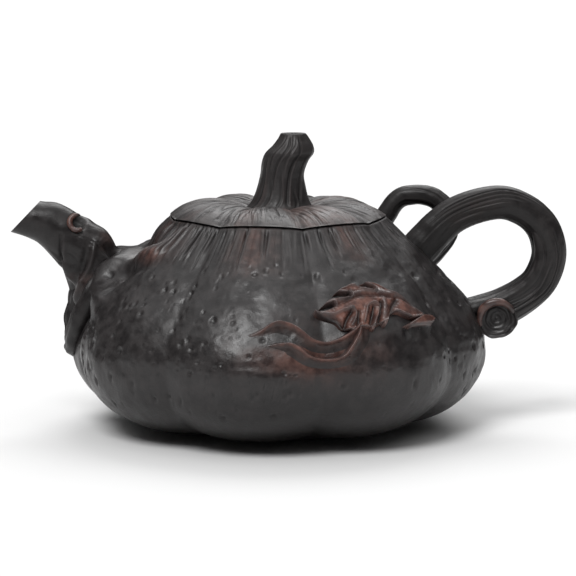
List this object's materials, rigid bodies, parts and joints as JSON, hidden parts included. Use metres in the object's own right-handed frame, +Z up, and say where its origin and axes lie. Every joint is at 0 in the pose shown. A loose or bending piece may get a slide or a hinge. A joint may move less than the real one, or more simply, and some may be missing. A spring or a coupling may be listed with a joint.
{
  "type": "clay teapot",
  "caption": "Squat lobed teapot of unglazed clay with a lift-off lid, cut-branch spout, twisted vine handle and a raised leaf on the front.",
  "frame": {"origin": "middle of the foot, on the surface that the pot stands on, under the middle of the lid", "axes": "+Z up, +X from the spout towards the handle, so the leaf side faces -Y"},
  "size_m": [0.1593, 0.119, 0.084],
  "materials": {
    "dark_clay": "unglazed, burnished charcoal-brown clay with a satin surface",
    "lid_clay": "unglazed charcoal-brown clay, brushed in fine radial lines",
    "red_clay": "unglazed clay rubbed with reddish-brown slip"
  },
  "bodies": {
    "pot": {"pot_wall": "dark_clay", "base_disc": "dark_clay", "foot_ring": "dark_clay", "mouth_ring": "dark_clay", "strainer_dome": "dark_clay", "spout": "dark_clay", "spout_knot": "red_clay", "root_main": "dark_clay", "root_front": "dark_clay", "root_back": "dark_clay", "handle_vine": "dark_clay", "handle_strand": "dark_clay", "side_vine": "dark_clay", "branch_stub": "dark_clay", "stub_lip": "red_clay", "leaf_blade": "red_clay", "leaf_stalk": "dark_clay", "tendril_upper": "red_clay", "tendril_lower": "red_clay"},
    "lid": {"lid_dome": "lid_clay", "lid_flange": "dark_clay", "lid_stem": "dark_clay"}
  },
  "joints": [
    {"name": "lid_lift", "type": "slide", "parent": "pot", "child": "lid", "axis": [0, 0, 1], "range_m": [0, 0.06]}
  ]
}
